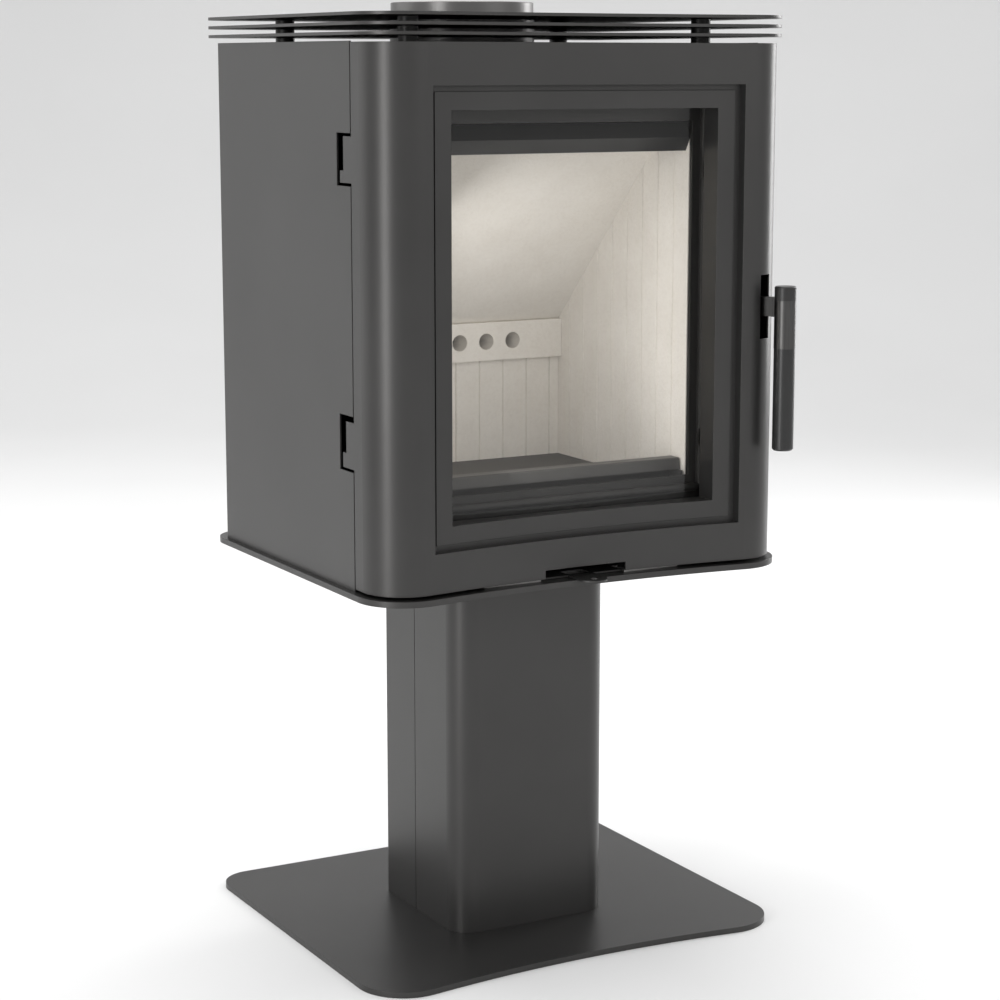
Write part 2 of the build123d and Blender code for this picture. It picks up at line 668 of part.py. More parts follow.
DEFLECTOR = ((-100.0, 847.0), (-141.0, 847.0), (-149.0, 831.5), (-141.0, 818.0))
DEFLECTOR_X = LINER_X - 0.3
with BuildPart() as airwash_deflector:
    with BuildSketch(Plane.YZ.offset(-DEFLECTOR_X)):
        with BuildLine():
            Polyline(*DEFLECTOR)
            offset(amount=SKIN, side=Side.LEFT)
        make_face()
    extrude(amount=2 * DEFLECTOR_X)
    for x_range in both_sides(105.0, 125.0):
        block(x_range, (-112.0, -110.0), (847.0, BOX_Z[1] - BOX_T))
airwash_deflector.part.label = "airwash_deflector"
export_step(airwash_deflector.part, "parts/airwash_deflector.step")

# ---------------------------------------------------------------- grate, guard and ash pan
FLOOR_PLATE_T = 8.0
GRATE_X = 82.0
GRATE_Y = (-112.0, 22.0)
with BuildPart() as fire_floor:
    block((-171.0, 171.0), (LINER_FRONT, LINER_REAR), (FIRE_FLOOR - FLOOR_PLATE_T, FIRE_FLOOR))
    block((-GRATE_X, GRATE_X), GRATE_Y, (FIRE_FLOOR - FLOOR_PLATE_T - 1, FIRE_FLOOR + 1), Mode.SUBTRACT)
    for y_range in ((GRATE_Y[0] - 1, GRATE_Y[0] + 5), (GRATE_Y[1] - 5, GRATE_Y[1] + 1)):
        block((-GRATE_X, GRATE_X), y_range, (FIRE_FLOOR - FLOOR_PLATE_T, FIRE_FLOOR - 5))
fire_floor.part.label = "fire_floor"
export_step(fire_floor.part, "parts/fire_floor.step")

with BuildPart() as grate:
    block((-GRATE_X + 1, GRATE_X - 1), (GRATE_Y[0] + 1, GRATE_Y[1] - 1), (FIRE_FLOOR - 5, FIRE_FLOOR + 3))
    for slot in range(9):
        slot_x = -64.0 + 16.0 * slot
        block(
            (slot_x - 4, slot_x + 4),
            (GRATE_Y[0] + 12, GRATE_Y[1] - 12),
            (FIRE_FLOOR - 7, FIRE_FLOOR + 5),
            Mode.SUBTRACT,
        )
grate.part.label = "grate"
export_step(grate.part, "parts/grate.step")

GUARD_Y = (-139.0, -122.0)
GUARD_Z = (490.0, 502.5)
GUARD_X = 143.0
GUARD_PLATE_T = 3.0
GUARD_FOOT_FRONT = -146.0
with BuildPart() as log_guard:
    with BuildSketch(Plane.XZ.offset(-GUARD_Y[1])):
        with BuildLine():
            Polyline(
                (-GUARD_X - 2, GUARD_Z[0]),
                (GUARD_X + 2, GUARD_Z[0]),
                (GUARD_X, GUARD_Z[1]),
                (-GUARD_X, GUARD_Z[1]),
                close=True,
            )
        make_face()
    extrude(amount=GUARD_Y[1] - GUARD_Y[0])
    top_edges = log_guard.edges().filter_by(Axis.X).group_by(Axis.Z)[-1]
    fillet(top_edges, 1.5)
    block((-GUARD_X, GUARD_X), (GUARD_Y[1] - GUARD_PLATE_T, GUARD_Y[1]), (FIRE_FLOOR, GUARD_Z[0]))
    for x_range in both_sides(GUARD_X - GUARD_PLATE_T, GUARD_X):
        block(x_range, (GUARD_FOOT_FRONT, GUARD_Y[1]), (FIRE_FLOOR, GUARD_Z[0]))
log_guard.part.label = "log_guard"
export_step(log_guard.part, "parts/log_guard.step")

PAN_X = 118.0
PAN_Y = (-140.0, 66.0)
PAN_Z = (ASH_FLOOR, 455.0)
PAN_T = 1.5
with BuildPart() as ash_pan:
    block((-PAN_X, PAN_X), PAN_Y, PAN_Z)
    block(
        (-PAN_X + PAN_T, PAN_X - PAN_T),
        (PAN_Y[0] + PAN_T, PAN_Y[1] - PAN_T),
        (PAN_Z[0] + PAN_T, PAN_Z[1] + 1),
        Mode.SUBTRACT,
    )
    block((-35.0, 35.0), (PAN_Y[0] - 8.0, PAN_Y[0]), (446.0, 448.0))
    block((-35.0, 35.0), (PAN_Y[0] - 8.0, PAN_Y[0] - 6.5), (438.0, 448.0))
ash_pan.part.label = "ash_pan"
export_step(ash_pan.part, "parts/ash_pan.step")

# ---------------------------------------------------------------- door
TAB_REAR = -125.5
LONG_TAB_REAR = -118.0
HINGE_TABS = (((534.0, 565.0), (519.5, 534.0)), ((805.0, 837.4), (793.5, 805.0)))
FLANGE_IN = 16.0
AIR_SLOT_X = 46.5
AIR_SLOT_TOP = 411.0
lever_dir = Vector(cos(radians(LEVER_BEARING)), -sin(radians(LEVER_BEARING)), 0)
shaft_dir = Vector(sin(radians(LEVER_BEARING)), cos(radians(LEVER_BEARING)), 0)
slot_point = Vector(SLOT_X, SLOT_Y, LEVER_Z)
pivot_point = slot_point - lever_dir * PIVOT_INSET
handle_point = slot_point + lever_dir * HANDLE_OUT

with BuildPart() as door_fascia:
    with BuildSketch(Plane.XY.offset(DOOR_BOTTOM)):
        add(door_face(0))
        add(door_face(SKIN, SEAM + 5), mode=Mode.SUBTRACT)
    extrude(amount=DOOR_TOP - DOOR_BOTTOM)
    for flange_z in (DOOR_BOTTOM, DOOR_TOP - SKIN):
        with BuildSketch(Plane.XY.offset(flange_z)):
            add(door_face(SKIN / 2))
            add(door_face(FLANGE_IN, SEAM + 5), mode=Mode.SUBTRACT)
            with Locations((0, SEAM)):
                Rectangle(BODY_W, 50.0, mode=Mode.SUBTRACT)
        extrude(amount=SKIN)
    return_z = (APERTURE_Z[0] - SKIN, APERTURE_Z[1] + SKIN)
    with BuildSketch(Plane.XY.offset(return_z[0])):
        add(front_band(APERTURE_X + SKIN, SKIN / 2, RETURN_DEPTH))
    extrude(amount=return_z[1] - return_z[0])
    block((-APERTURE_X, APERTURE_X), (-240, -150), APERTURE_Z, Mode.SUBTRACT)
    block((-AIR_SLOT_X, AIR_SLOT_X), (-220, -160), (DOOR_BOTTOM - 1, AIR_SLOT_TOP), Mode.SUBTRACT)
    for short_z, long_z in HINGE_TABS:
        tab_x = (-BODY_W / 2, -BODY_W / 2 + SKIN)
        block(tab_x, (SEAM - SEAM_GAP - 1, TAB_REAR), short_z)
        block(tab_x, (SEAM - SEAM_GAP - 1, LONG_TAB_REAR), long_z)
    slot_middle = slot_point - shaft_dir * SLOT_SHIFT
    slot_plane = Plane(
        (slot_middle.X, slot_middle.Y, (SLOT_Z[0] + SLOT_Z[1]) / 2),
        x_dir=tuple(shaft_dir),
        z_dir=tuple(lever_dir),
    )
    with BuildSketch(slot_plane):
        Rectangle(SLOT_W, SLOT_Z[1] - SLOT_Z[0])
    extrude(amount=15, both=True, mode=Mode.SUBTRACT)
door_fascia.part.label = "door_fascia"
export_step(door_fascia.part, "parts/door_fascia.step")

FRAME_X = 182.0
FRAME_Z = (412.0, 912.0)
FRAME_T = 4.0
with BuildPart() as door_frame:
    with BuildSketch(Plane.XY.offset(FRAME_Z[0])):
        add(front_band(FRAME_X, RETURN_DEPTH, RETURN_DEPTH + FRAME_T))
    extrude(amount=FRAME_Z[1] - FRAME_Z[0])
    block((-TRIM_X, TRIM_X), (-240, -150), TRIM_Z, Mode.SUBTRACT)
door_frame.part.label = "door_frame"
export_step(door_frame.part, "parts/door_frame.step")

BACK_T = 3.0
GLASS_X = 160.0
GLASS_Z = (455.0, 872.0)
with BuildPart() as door_back_frame:
    with BuildSketch(Plane.XY.offset(FRAME_Z[0])):
        add(flat_back_band(FRAME_X, RETURN_DEPTH + FRAME_T, FRAME_REAR + BACK_T))
    extrude(amount=FRAME_Z[1] - FRAME_Z[0])
    block(
        (-FRAME_X + BACK_T, FRAME_X - BACK_T),
        (-240, FRAME_REAR),
        (FRAME_Z[0] + BACK_T, FRAME_Z[1] - BACK_T),
        Mode.SUBTRACT,
    )
    block(
        (-GLASS_X - 1, GLASS_X + 1),
        (-240, -150),
        (GLASS_Z[0] - 1, GLASS_Z[1] + 1),
        Mode.SUBTRACT,
    )
door_back_frame.part.label = "door_back_frame"
export_step(door_back_frame.part, "parts/door_back_frame.step")

with BuildPart() as door_trim_frame:
    with BuildSketch(Plane.XY.offset(TRIM_Z[0])):
        add(flat_back_band(TRIM_X, TRIM_RECESS, FRAME_REAR))
    extrude(amount=TRIM_Z[1] - TRIM_Z[0])
    block((-GLASS_OPEN_X, GLASS_OPEN_X), (-240, -150), GLASS_OPEN_Z, Mode.SUBTRACT)
door_trim_frame.part.label = "door_trim_frame"
export_step(door_trim_frame.part, "parts/door_trim_frame.step")

GASKET_IN = 152.0
with BuildPart() as glass_gasket:
    block((-GLASS_X, GLASS_X), (FRAME_REAR, GLASS_FRONT), GLASS_Z)
    block(
        (-GASKET_IN, GASKET_IN),
        (FRAME_REAR - 1, GLASS_FRONT + 1),
        (GLASS_OPEN_Z[0] - 2, GLASS_OPEN_Z[1] + 2),
        Mode.SUBTRACT,
    )
glass_gasket.part.label = "glass_gasket"
export_step(glass_gasket.part, "parts/glass_gasket.step")

with BuildPart() as door_glass:
    block((-GLASS_X, GLASS_X), (GLASS_FRONT, GLASS_FRONT + GLASS_T), GLASS_Z)
    chamfer(door_glass.edges(), 0.4)
door_glass.part.label = "door_glass"
export_step(door_glass.part, "parts/door_glass.step")

CLIP_Z = (526.0, 800.5)
CLIP_H = 18.0
CLIP_T = 1.5
GLASS_REAR = GLASS_FRONT + GLASS_T
BACK_FACE = FRAME_REAR + BACK_T
CLIP_IN = 152.5
CLIP_STEP = 163.5
CLIP_OUT = 171.5
with BuildPart() as glass_clips:
    for clip_z in CLIP_Z:
        for side in (-1, 1):
            with BuildSketch(Plane.XY.offset(clip_z - CLIP_H / 2)):
                with BuildLine():
                    Polyline(
                        (side * CLIP_IN, GLASS_REAR),
                        (side * (CLIP_STEP - CLIP_T), GLASS_REAR),
                        (side * (CLIP_STEP - CLIP_T), BACK_FACE),
                        (side * CLIP_OUT, BACK_FACE),
                        (side * CLIP_OUT, BACK_FACE + CLIP_T),
                        (side * CLIP_STEP, BACK_FACE + CLIP_T),
                        (side * CLIP_STEP, GLASS_REAR + CLIP_T),
                        (side * CLIP_IN, GLASS_REAR + CLIP_T),
                        close=True,
                    )
                make_face()
            extrude(amount=CLIP_H)
glass_clips.part.label = "glass_clips"
export_step(glass_clips.part, "parts/glass_clips.step")

CLIP_SCREW_X = 167.5
with BuildPart() as clip_screws:
    for clip_z in CLIP_Z:
        for screw_x in (-CLIP_SCREW_X, CLIP_SCREW_X):
            with BuildSketch(Plane((screw_x, BACK_FACE + CLIP_T, clip_z), z_dir=(0, 1, 0))):
                Circle(3.2)
                RegularPolygon(1.4, 6, mode=Mode.SUBTRACT)
            extrude(amount=2.4)
clip_screws.part.label = "clip_screws"
export_step(clip_screws.part, "parts/clip_screws.step")

ROPE_X = (172.2, 181.2)
ROPE_LOW = (415.0, 424.0)
ROPE_HIGH = (888.0, 897.0)
ROPE_REAR = PLATE_Y[0] - 0.4
with BuildPart() as door_rope_seal:
    block((-ROPE_X[1], ROPE_X[1]), (BACK_FACE, ROPE_REAR), (ROPE_LOW[0], ROPE_HIGH[1]))
    block(
        (-ROPE_X[0], ROPE_X[0]),
        (BACK_FACE - 1, ROPE_REAR + 1),
        (ROPE_LOW[1], ROPE_HIGH[0]),
        Mode.SUBTRACT,
    )
    rope_edges = door_rope_seal.edges().group_by(Axis.Y)[-1]
    fillet(rope_edges, 4.0)
door_rope_seal.part.label = "door_rope_seal"
export_step(door_rope_seal.part, "parts/door_rope_seal.step")

# ---------------------------------------------------------------- hinges
LUG_R = 9.4
EAR_R = 8.5
EAR_HALF = 6.0
HINGE_SETS = (("lower", 519.5), ("upper", 793.5))
EAR_LOW = 4.0
EAR_T = 5.0
LUG_T = 8.0
WASHER_T = 1.0
BRACKET_X = (-FRONT_X - 3.0, -FRONT_X)

for hinge_name, hinge_z in HINGE_SETS:
    low_ear = (hinge_z + EAR_LOW, hinge_z + EAR_LOW + EAR_T)
    washer_z = (low_ear[1] + 0.2, low_ear[1] + 0.2 + WASHER_T)
    lug_z = (washer_z[1] + 0.2, washer_z[1] + 0.2 + LUG_T)
    high_ear = (lug_z[1] + 0.6, lug_z[1] + 0.6 + EAR_T)
    with BuildPart() as hinge_bracket:
        block(BRACKET_X, (-142.0, -110.0), (hinge_z - 6.0, hinge_z + 34.0))
        for ear_z in (low_ear, high_ear):
            block((HINGE_X, BRACKET_X[0]), (HINGE_Y - EAR_HALF, HINGE_Y + EAR_HALF), ear_z)
            disc(HINGE_X, HINGE_Y, ear_z, EAR_R)
            disc(HINGE_X, HINGE_Y, (ear_z[0] - 1, ear_z[1] + 1), HINGE_PIN_R, Mode.SUBTRACT)
    hinge_bracket.part.label = "hinge_bracket_" + hinge_name
    export_step(hinge_bracket.part, "parts/hinge_bracket_" + hinge_name + ".step")

    with BuildPart() as hinge_lug:
        disc(HINGE_X, HINGE_Y, lug_z, LUG_R)
        block((HINGE_X - 7.0, HINGE_X + 7.0), (-172.0, HINGE_Y), lug_z)
        block((HINGE_X - 5.0, -FRAME_X), (-176.0, -168.0), (lug_z[0], lug_z[1] + 16.0))
        disc(HINGE_X, HINGE_Y, (lug_z[0] - 1, lug_z[1] + 1), HINGE_PIN_R + RUNNING_GAP, Mode.SUBTRACT)
    hinge_lug.part.label = "hinge_lug_" + hinge_name
    export_step(hinge_lug.part, "parts/hinge_lug_" + hinge_name + ".step")

PIN_LENGTH = 2 * EAR_T + LUG_T + WASHER_T + 1.0
with BuildPart() as hinge_pins:
    for hinge_name, hinge_z in HINGE_SETS:
        pin_low = hinge_z + EAR_LOW
        disc(HINGE_X, HINGE_Y, (pin_low, pin_low + PIN_LENGTH), HINGE_PIN_R)
        disc(HINGE_X, HINGE_Y, (pin_low + PIN_LENGTH, pin_low + PIN_LENGTH + 2.5), HINGE_PIN_R + 2)
hinge_pins.part.label = "hinge_pins"
export_step(hinge_pins.part, "parts/hinge_pins.step")

with BuildPart() as hinge_washers:
    for hinge_name, hinge_z in HINGE_SETS:
        washer_low = hinge_z + EAR_LOW + EAR_T + 0.2
        disc(HINGE_X, HINGE_Y, (washer_low, washer_low + WASHER_T), 7.5)
        disc(HINGE_X, HINGE_Y, (washer_low - 1, washer_low + 2), HINGE_PIN_R + 0.3, Mode.SUBTRACT)
hinge_washers.part.label = "hinge_washers"
export_step(hinge_washers.part, "parts/hinge_washers.step")

# ---------------------------------------------------------------- latch and handle
SHAFT_R = 5.0
EAR_OUT = (4.0, 9.0)
SHAFT_SPAN = (-LEVER_T / 2, 22.0)
HUB_SPAN = (10.0, 22.0)


def shaft_plane(along):
    """Plane across the latch shaft: X is outward along the lever, Y is down."""
    origin = pivot_point + shaft_dir * along
    return Plane(tuple(origin), x_dir=tuple(lever_dir), z_dir=tuple(shaft_dir))


with BuildPart() as latch_bracket:
    block((FRAME_X, FRAME_X + 3.0), (-184.0, -155.0), (LEVER_Z - 20.0, LEVER_Z + 20.0))
    block((FRAME_X, 199.0), (-158.0, -155.0), (LEVER_Z - 9.0, LEVER_Z + 9.0))
    with BuildSketch(shaft_plane(EAR_OUT[0])):
        Circle(9.0)
        with Locations((-8.0, 0)):
            Rectangle(15.0, 18.0)
        Circle(SHAFT_R + RUNNING_GAP, mode=Mode.SUBTRACT)
    extrude(amount=EAR_OUT[1] - EAR_OUT[0])
latch_bracket.part.label = "latch_bracket"
export_step(latch_bracket.part, "parts/latch_bracket.step")

with BuildPart() as latch_shaft:
    with BuildSketch(shaft_plane(SHAFT_SPAN[0])):
        Circle(SHAFT_R)
    extrude(amount=SHAFT_SPAN[1] - SHAFT_SPAN[0])
latch_shaft.part.label = "latch_shaft"
export_step(latch_shaft.part, "parts/latch_shaft.step")

TONGUE_X = (208.0, 212.0)
ROLLER_Y = -138.0
ROLLER_Z = 674.0
ROLLER_R = 5.0
TIP_TOP = ROLLER_Z - ROLLER_R - 1.0
with BuildPart() as latch_tongue:
    with BuildSketch(shaft_plane(HUB_SPAN[0])):
        Circle(8.0)
    extrude(amount=HUB_SPAN[1] - HUB_SPAN[0])
    with BuildSketch(Plane.YZ.offset(TONGUE_X[0])):
        with BuildLine():
            Polyline(
                (-168.0, 655.0),
                (-160.0, 652.0),
                (-124.0, 652.0),
                (-124.0, TIP_TOP - 2),
                (-126.0, TIP_TOP),
                (-130.0, TIP_TOP),
                (-132.0, 660.0),
                (-158.0, 662.0),
                (-166.0, 666.0),
                close=True,
            )
        make_face()
    extrude(amount=TONGUE_X[1] - TONGUE_X[0])
    with BuildSketch(shaft_plane(HUB_SPAN[0])):
        Circle(SHAFT_R)
    extrude(amount=HUB_SPAN[1] - HUB_SPAN[0], mode=Mode.SUBTRACT)
latch_tongue.part.label = "latch_tongue"
export_step(latch_tongue.part, "parts/latch_tongue.step")

with BuildPart() as handle_lever:
    with BuildSketch(shaft_plane(-LEVER_T / 2)):
        with Locations((PIVOT_INSET / 2 + HANDLE_OUT / 2 - 3.0, 0)):
            Rectangle(PIVOT_INSET + HANDLE_OUT - HANDLE_R + 3.0, LEVER_H)
        Circle(LEVER_H / 2)
        Circle(SHAFT_R, mode=Mode.SUBTRACT)
    extrude(amount=LEVER_T)
    disc(handle_point.X, handle_point.Y, (600.0, 700.0), HANDLE_R, Mode.SUBTRACT)
handle_lever.part.label = "handle_lever"
export_step(handle_lever.part, "parts/handle_lever.step")

CAP_Z = (669.4, 683.5)
STEM_Z = (620.5, 669.4)
GRIP_Z = (516.0, 620.5)
with BuildPart() as handle_cap:
    disc(handle_point.X, handle_point.Y, CAP_Z, HANDLE_R)
    chamfer(handle_cap.edges().group_by(Axis.Z)[-1], 1.0)
handle_cap.part.label = "handle_cap"
export_step(handle_cap.part, "parts/handle_cap.step")

with BuildPart() as handle_stem:
    disc(handle_point.X, handle_point.Y, STEM_Z, HANDLE_R)
    disc(handle_point.X, handle_point.Y, (GRIP_Z[0] + 20, STEM_Z[0]), 5.0)
handle_stem.part.label = "handle_stem"
export_step(handle_stem.part, "parts/handle_stem.step")

with BuildPart() as handle_grip:
    disc(handle_point.X, handle_point.Y, GRIP_Z, HANDLE_R - 0.2)
    chamfer(handle_grip.edges().group_by(Axis.Z)[0], 1.6)
    disc(handle_point.X, handle_point.Y, (GRIP_Z[0] + 20, GRIP_Z[1] + 1), 5.0, Mode.SUBTRACT)
handle_grip.part.label = "handle_grip"
export_step(handle_grip.part, "parts/handle_grip.step")

with BuildPart() as latch_keeper:
    block((FRONT_X, FRONT_X + 3.0), (-148.0, -112.0), (656.0, 692.0))
    with Locations(((FRONT_X + 3.0 + 216.0) / 2, ROLLER_Y, ROLLER_Z)):
        Cylinder(2.5, 216.0 - FRONT_X - 3.0, rotation=(0, 90, 0))
latch_keeper.part.label = "latch_keeper"
export_step(latch_keeper.part, "parts/latch_keeper.step")

with BuildPart() as keeper_roller:
    with Locations((210.0, ROLLER_Y, ROLLER_Z)):
        Cylinder(ROLLER_R, 10.0, rotation=(0, 90, 0))
        Cylinder(2.56, 10.0, rotation=(0, 90, 0), mode=Mode.SUBTRACT)
keeper_roller.part.label = "keeper_roller"
export_step(keeper_roller.part, "parts/keeper_roller.step")
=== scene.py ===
"""Looks of a pedestal wood burning stove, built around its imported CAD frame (metres)."""
import math

import bpy
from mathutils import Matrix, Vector

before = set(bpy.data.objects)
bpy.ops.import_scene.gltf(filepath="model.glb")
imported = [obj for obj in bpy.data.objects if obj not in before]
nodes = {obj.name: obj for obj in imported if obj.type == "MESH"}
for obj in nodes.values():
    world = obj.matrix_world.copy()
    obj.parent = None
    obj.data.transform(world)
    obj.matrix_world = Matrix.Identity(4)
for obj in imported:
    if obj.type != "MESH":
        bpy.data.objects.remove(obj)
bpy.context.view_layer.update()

# ------------------------------------------------------------------ materials


NOISE_ROUGHNESS = 0.55


class Shader:
    """A node material with one Principled surface and helpers that wire textures into it."""

    def __init__(self, name):
        self.mat = bpy.data.materials.new(name)
        self.mat.use_nodes = True
        self.tree = self.mat.node_tree
        self.bsdf = self.tree.nodes["Principled BSDF"]
        self.coords = self.new("ShaderNodeTexCoord").outputs["Object"]

    def new(self, kind, **values):
        """A new shader node of one kind, with its settings."""
        node = self.tree.nodes.new(kind)
        for key, value in values.items():
            setattr(node, key, value)
        return node

    def link(self, source, target):
        self.tree.links.new(source, target)

    def stretch(self, scale):
        """Object coordinates scaled on each axis, for grain that runs one way."""
        mapping = self.new("ShaderNodeMapping")
        mapping.inputs["Scale"].default_value = scale
        self.link(self.coords, mapping.inputs["Vector"])
        return mapping.outputs["Vector"]

    def noise(self, scale, detail=4.0, vector=None):
        """Cloudy noise over the object, 0..1."""
        node = self.new("ShaderNodeTexNoise")
        node.inputs["Scale"].default_value = scale
        node.inputs["Detail"].default_value = detail
        node.inputs["Roughness"].default_value = NOISE_ROUGHNESS
        self.link(vector or self.coords, node.inputs["Vector"])
        return node.outputs["Fac"]

    def ramp(self, value, stops):
        """Colour ramp from (position, colour) stops."""
        node = self.new("ShaderNodeValToRGB")
        elements = node.color_ramp.elements
        while len(elements) < len(stops):
            elements.new(0.5)
        for element, (place, colour) in zip(elements, stops):
            element.position = place
            element.color = (*colour, 1.0)
        self.link(value, node.inputs["Fac"])
        return node.outputs["Color"]

    def span(self, value, low, high):
        """A 0..1 value mapped onto low..high."""
        node = self.new("ShaderNodeMapRange")
        node.inputs["To Min"].default_value = low
        node.inputs["To Max"].default_value = high
        self.link(value, node.inputs["Value"])
        return node.outputs["Result"]

    def colour(self, source):
        """Base colour from a socket."""
        self.link(source, self.bsdf.inputs["Base Color"])

    def rough(self, source):
        """Roughness from a socket."""
        self.link(source, self.bsdf.inputs["Roughness"])

    def relief(self, height, strength, distance=0.001, edge=0.0):
        """Bump from a height, over edges rounded to a small radius."""
        bump = self.new("ShaderNodeBump")
        bump.inputs["Strength"].default_value = strength
        bump.inputs["Distance"].default_value = distance
        self.link(height, bump.inputs["Height"])
        if edge:
            bevel = self.new("ShaderNodeBevel", samples=4)
            bevel.inputs["Radius"].default_value = edge
            self.link(bevel.outputs["Normal"], bump.inputs["Normal"])
        self.link(bump.outputs["Normal"], self.bsdf.inputs["Normal"])


def grey(level, warm=0.0):
    """Near-neutral colour, slightly warm."""
    return (level * (1 + warm), level, level * (1 - warm))


def paint(name, level, rough, metallic, grain_depth=0.22, edge=0.0008):
    """Satin stove paint with a fine metallic grain."""
    shader = Shader(name)
    cloud = shader.noise(6.0, 3.0)
    grain = shader.noise(1500.0, 2.0)
    shader.colour(shader.ramp(cloud, [(0.3, grey(level * 0.94, 0.02)), (0.7, grey(level * 1.06, 0.02))]))
    shader.rough(shader.span(grain, rough - 0.04, rough + 0.05))
    shader.bsdf.inputs["Metallic"].default_value = metallic
    shader.relief(grain, grain_depth, 0.0002, edge)
    return shader.mat


def board(name, base, dark):
    """Pressed vermiculite: pale board with fine flakes."""
    shader = Shader(name)
    flakes = shader.new("ShaderNodeTexVoronoi")
    flakes.inputs["Scale"].default_value = 420.0
    shader.link(shader.coords, flakes.inputs["Vector"])
    cloud = shader.noise(22.0, 6.0)
    fine = shader.noise(900.0, 3.0)
    mix = shader.new("ShaderNodeMix", data_type="RGBA")
    mix.inputs["Factor"].default_value = 0.35
    shader.link(shader.ramp(cloud, [(0.25, dark), (0.75, base)]), mix.inputs["A"])
    shader.link(
        shader.ramp(flakes.outputs["Color"], [(0.2, dark), (0.55, base)]), mix.inputs["B"]
    )
    shader.colour(mix.outputs["Result"])
    shader.rough(shader.span(fine, 0.85, 0.98))
    shader.relief(fine, 0.35, 0.0006)
    return shader.mat


def cast(name, level):
    """Sand-cast iron with a grainy skin."""
    shader = Shader(name)
    grain = shader.noise(700.0, 5.0)
    cloud = shader.noise(14.0, 3.0)
    shader.colour(shader.ramp(cloud, [(0.3, grey(level * 0.8, 0.05)), (0.7, grey(level * 1.2, 0.05))]))
    shader.rough(shader.span(grain, 0.38, 0.55))
    shader.bsdf.inputs["Metallic"].default_value = 0.35
    shader.relief(grain, 0.12, 0.0003, 0.0012)
    return shader.mat


def brushed(name, level, rough, scale):
    """Steel brushed along one axis."""
    shader = Shader(name)
    lines = shader.noise(1.0, 3.0, shader.stretch(scale))
    shader.colour(shader.ramp(lines, [(0.3, grey(level * 0.85, 0.02)), (0.7, grey(level, 0.02))]))
    shader.rough(shader.span(lines, rough - 0.06, rough + 0.08))
    shader.bsdf.inputs["Metallic"].default_value = 1.0
    shader.relief(lines, 0.05, 0.0002, 0.0005)
    return shader.mat


def moulded(name, level, rough):
    """Matt grip with a fine moulded texture."""
    shader = Shader(name)
    grain = shader.noise(1800.0, 2.0)
    shader.colour(shader.ramp(grain, [(0.3, grey(level * 0.85)), (0.7, grey(level * 1.15))]))
    shader.rough(shader.span(grain, rough - 0.05, rough + 0.05))
    shader.relief(grain, 0.15, 0.0003, 0.0006)
    return shader.mat


def braid(name, base, dark):
    """Knitted glass-fibre rope or tape."""
    shader = Shader(name)
    knit = shader.new("ShaderNodeTexVoronoi")
    knit.inputs["Scale"].default_value = 380.0
    shader.link(shader.coords, knit.inputs["Vector"])
    shader.colour(shader.ramp(knit.outputs["Distance"], [(0.1, base), (0.7, dark)]))
    shader.rough(shader.span(knit.outputs["Distance"], 0.98, 0.8))
    shader.relief(knit.outputs["Distance"], 0.6, 0.001)
    return shader.mat


GLASS_IOR = 1.42


def clear_glass(name):
    """Flat ceramic glass: see-through with a reflection that grows at a glance."""
    shader = Shader(name)
    film = shader.noise(9.0, 2.0)
    clear = shader.new("ShaderNodeBsdfTransparent")
    shader.link(
        shader.ramp(film, [(0.3, (0.955, 0.95, 0.94)), (0.7, (0.97, 0.965, 0.955))]),
        clear.inputs["Color"],
    )
    shine = shader.new("ShaderNodeBsdfGlossy")
    shine.inputs["Color"].default_value = (1.0, 1.0, 1.0, 1.0)
    shader.link(shader.span(film, 0.02, 0.04), shine.inputs["Roughness"])
    fresnel = shader.new("ShaderNodeFresnel")
    fresnel.inputs["IOR"].default_value = GLASS_IOR
    front = shader.new("ShaderNodeMath", operation="SUBTRACT")
    front.inputs[0].default_value = 1.0
    shader.link(shader.new("ShaderNodeNewGeometry").outputs["Backfacing"], front.inputs[1])
    share = shader.new("ShaderNodeMath", operation="MULTIPLY")
    shader.link(fresnel.outputs["Fac"], share.inputs[0])
    shader.link(front.outputs["Value"], share.inputs[1])
    mix = shader.new("ShaderNodeMixShader")
    shader.link(share.outputs["Value"], mix.inputs["Fac"])
    shader.link(clear.outputs["BSDF"], mix.inputs[1])
    shader.link(shine.outputs["BSDF"], mix.inputs[2])
    output = shader.tree.nodes["Material Output"]
    shader.link(mix.outputs["Shader"], output.inputs["Surface"])
    return shader.mat


# Flue collar: a lighter, more metallic copy of the graphite stove paint; its extra lightness is painted
# light, standing in for the reflections the collar catches.
collar = paint("collar_lit_paint", 0.17, 0.33, 0.8)
graphite = paint("graphite_paint", 0.06, 0.36, 0.7)
inner = paint("inner_paint", 0.022, 0.5, 0.2, 0.06)
black = paint("black_paint", 0.012, 0.3, 0.1, 0.04)
guard = paint("guard_paint", 0.09, 0.4, 0.5, 0.04)
pale_board = board("vermiculite", (0.88, 0.852, 0.808), (0.79, 0.754, 0.702))
iron = cast("cast_iron", 0.04)
satin = brushed("satin_steel", 0.10, 0.34, (900.0, 900.0, 30.0))
zinc = brushed("zinc_steel", 0.5, 0.38, (300.0, 300.0, 300.0))
grip = moulded("dark_grip", 0.018, 0.32)
cap = paint("cap_paint", 0.03, 0.35, 0.3)
fibre = braid("glass_fibre", (0.30, 0.29, 0.27), (0.10, 0.095, 0.09))
glass = clear_glass("stove_glass")

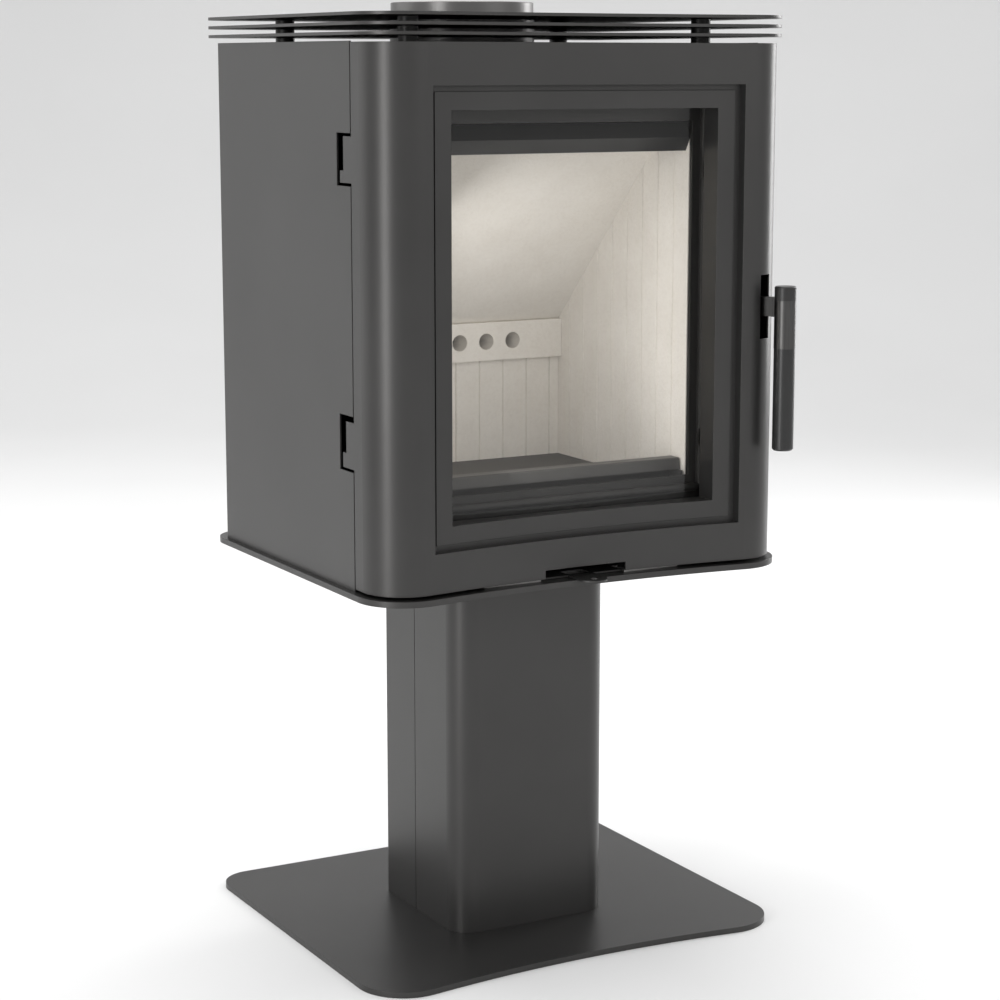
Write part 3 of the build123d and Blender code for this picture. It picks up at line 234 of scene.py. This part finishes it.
LOOKS = {
    graphite: (
        "base_plate pedestal_front pedestal_rear floor_plate side_panel_left side_panel_right "
        "canopy_plate_lower canopy_plate_middle canopy_plate_upper door_fascia door_trim_frame "
        "door_frame door_back_frame canopy_spacers air_slide_plate body_top_sheet"
    ),
    collar: "flue_collar",
    inner: (
        "pedestal_foot_flange pedestal_head_flange rear_panel firebox_shell firebox_front_frame "
        "air_manifold hinge_bracket_lower hinge_bracket_upper hinge_lug_lower hinge_lug_upper "
        "latch_bracket latch_keeper"
    ),
    black: "airwash_deflector",
    guard: "log_guard",
    pale_board: "liner_left liner_right liner_rear secondary_air_bar baffle",
    iron: "fire_floor grate",
    satin: "handle_lever handle_stem glass_clips",
    zinc: (
        "pedestal_bolts panel_screws canopy_studs canopy_nuts collar_bolts clip_screws hinge_pins "
        "hinge_washers latch_shaft latch_tongue keeper_roller air_inlet_spigot air_slide_guides "
        "ash_pan"
    ),
    grip: "handle_grip",
    cap: "handle_cap",
    fibre: "door_rope_seal glass_gasket",
    glass: "door_glass",
}
for material, names in LOOKS.items():
    for name in names.split():
        for slot in nodes[name].material_slots:
            slot.material = material

# ------------------------------------------------------------------ stage


def stage_material():
    """Pale matt floor with a faint cloud in its tone."""
    shader = Shader("pale_floor")
    cloud = shader.noise(1.5, 2.0)
    shader.colour(shader.ramp(cloud, [(0.3, grey(0.80)), (0.7, grey(0.82))]))
    shader.rough(shader.span(cloud, 0.6, 0.7))
    return shader.mat


COVE_FRONT = -14.0
COVE_REAR = 6.0
COVE_TOP = 14.0
COVE_HALF_WIDTH = 16.0
COVE_RADIUS = 2.5
COVE_STEPS = 16
COVE_TURN = -29.0


def cove():
    """Pale floor that curves up into a backdrop behind the stove."""
    bend = COVE_REAR - COVE_RADIUS
    profile = [(COVE_FRONT, 0.0), (bend, 0.0)]
    for step in range(1, COVE_STEPS + 1):
        turn = math.pi / 2 * step / COVE_STEPS
        profile.append((bend + COVE_RADIUS * math.sin(turn), COVE_RADIUS * (1 - math.cos(turn))))
    profile.append((COVE_REAR, COVE_TOP))
    points = [(x, y, z) for y, z in profile for x in (-COVE_HALF_WIDTH, COVE_HALF_WIDTH)]
    faces = [(2 * i, 2 * i + 1, 2 * i + 3, 2 * i + 2) for i in range(len(profile) - 1)]
    mesh = bpy.data.meshes.new("pale_cove")
    mesh.from_pydata(points, [], faces)
    for polygon in mesh.polygons:
        polygon.use_smooth = True
    mesh.materials.append(stage_material())
    piece = bpy.data.objects.new("pale_cove", mesh)
    bpy.context.scene.collection.objects.link(piece)
    piece.rotation_euler = (0, 0, math.radians(COVE_TURN))


def softbox(name, place, target, size, power):
    """Rectangular area light aimed at a point."""
    light = bpy.data.lights.new(name, "AREA")
    light.shape = "RECTANGLE"
    light.size, light.size_y = size
    light.energy = power
    lamp = bpy.data.objects.new(name, light)
    bpy.context.scene.collection.objects.link(lamp)
    lamp.location = place
    aim = Vector(target) - Vector(place)
    lamp.rotation_euler = aim.to_track_quat("-Z", "Y").to_euler()
    return lamp


cove()
middle = (0.0, 0.0, 0.6)
softbox("back_left", (-2.8, 3.0, 1.5), middle, (3.0, 3.0), 22.0)
softbox("front_right", (1.7, -3.2, 1.9), middle, (2.2, 1.4), 9.0)
softbox("strip_left", (-2.8, -1.2, 0.65), middle, (0.6, 1.7), 27.0)
softbox("rim_right", (2.4, 0.5, 1.3), middle, (0.7, 2.0), 30.0)
softbox("top", (0.0, 1.0, 3.6), middle, (3.0, 3.0), 100.0)
firebox_light = softbox("firebox_light", (-0.05, -0.117, 0.62), (0.45, 0.22, 0.52), (0.16, 0.24), 0.21)
firebox_light.visible_camera = False
firebox_light.visible_glossy = False

world = bpy.data.worlds.new("studio")
bpy.context.scene.world = world
world.use_nodes = True
sky = world.node_tree.nodes["Background"]
sky.inputs["Color"].default_value = (1.0, 1.0, 1.0, 1.0)
sky.inputs["Strength"].default_value = 0.72

# ------------------------------------------------------------------ camera
CAMERA_PLACE = Vector((-1.2276, -2.2364, 0.9038))
CAMERA_LOOK = Vector((0.4759, 0.8617, -0.1758))
CAMERA_LENS = 87.74
CAMERA_SENSOR = 36.0
camera_data = bpy.data.cameras.new("camera")
camera_data.lens = CAMERA_LENS
camera_data.sensor_width = CAMERA_SENSOR
camera = bpy.data.objects.new("camera", camera_data)
bpy.context.scene.collection.objects.link(camera)
camera.location = CAMERA_PLACE
camera.rotation_euler = CAMERA_LOOK.to_track_quat("-Z", "Y").to_euler()
bpy.context.scene.camera = camera

bpy.context.scene.view_settings.view_transform = "Standard"
